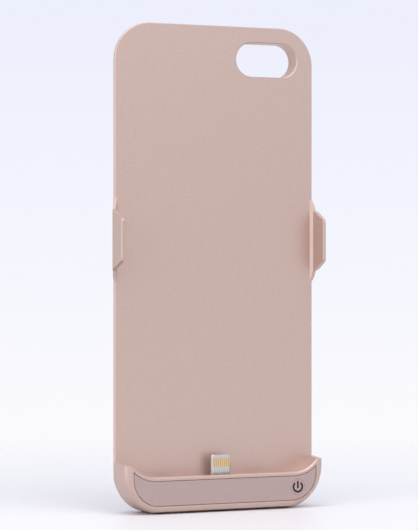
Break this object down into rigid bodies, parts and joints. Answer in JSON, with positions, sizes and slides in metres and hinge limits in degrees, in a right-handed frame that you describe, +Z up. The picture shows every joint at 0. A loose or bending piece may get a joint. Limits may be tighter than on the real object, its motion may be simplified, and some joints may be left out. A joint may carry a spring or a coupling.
{
  "type": "battery charging case",
  "caption": "Slim gold battery case for a handset: a flat tray with side clips, a chin with upright plug, charge port and power key, and a rounded back pan that holds the cell.",
  "frame": {"origin": "middle of the bounding box's underside, on the plane of the foot", "axes": "+Z up along the case from the chin to the top, -Y out of the front with the bay and the key, +X to the right seen from the front"},
  "size_m": [0.0704, 0.0144, 0.1493],
  "materials": {
    "gold_lacquer": "champagne-gold metallic lacquer on moulded polycarbonate, satin",
    "gold_satin": "slightly darker satin champagne gold, fine and even",
    "black_plastic": "black moulded plastic",
    "board": "green solder mask on glass fibre board",
    "steel": "plated steel",
    "contact_gold": "gold-plated contacts",
    "clear_plastic": "milky clear light guide",
    "lamp_white": "white lamp body",
    "ferrite": "dark grey ferrite and ceramic",
    "cell_pouch": "silver aluminium-laminate pouch",
    "tape": "double-sided adhesive sheet",
    "flex_film": "amber film ribbon"
  },
  "bodies": {
    "case": {"back_cover": "gold_lacquer", "front_frame": "gold_lacquer", "chin_fascia": "gold_satin", "switch_body": "black_plastic", "main_board": "board", "board_screws": "steel", "port_shell": "steel", "port_tongue": "black_plastic", "plug_base": "black_plastic", "plug_tongue": "steel", "plug_contacts": "contact_gold", "light_guide": "clear_plastic", "lamps": "lamp_white", "inductor": "ferrite", "boost_chip": "black_plastic", "control_chip": "black_plastic", "capacitors": "ferrite", "cell": "cell_pouch", "cell_tape": "tape", "protection_board": "board", "cell_tabs": "steel", "battery_flex": "flex_film"},
    "key": {"power_key": "gold_satin", "switch_plunger": "black_plastic"}
  },
  "joints": [
    {"name": "power_key_press", "type": "slide", "parent": "case", "child": "key", "axis": [0, 1, 0], "range_m": [0, 0.0003], "stiffness_N_per_m": 4000}
  ]
}
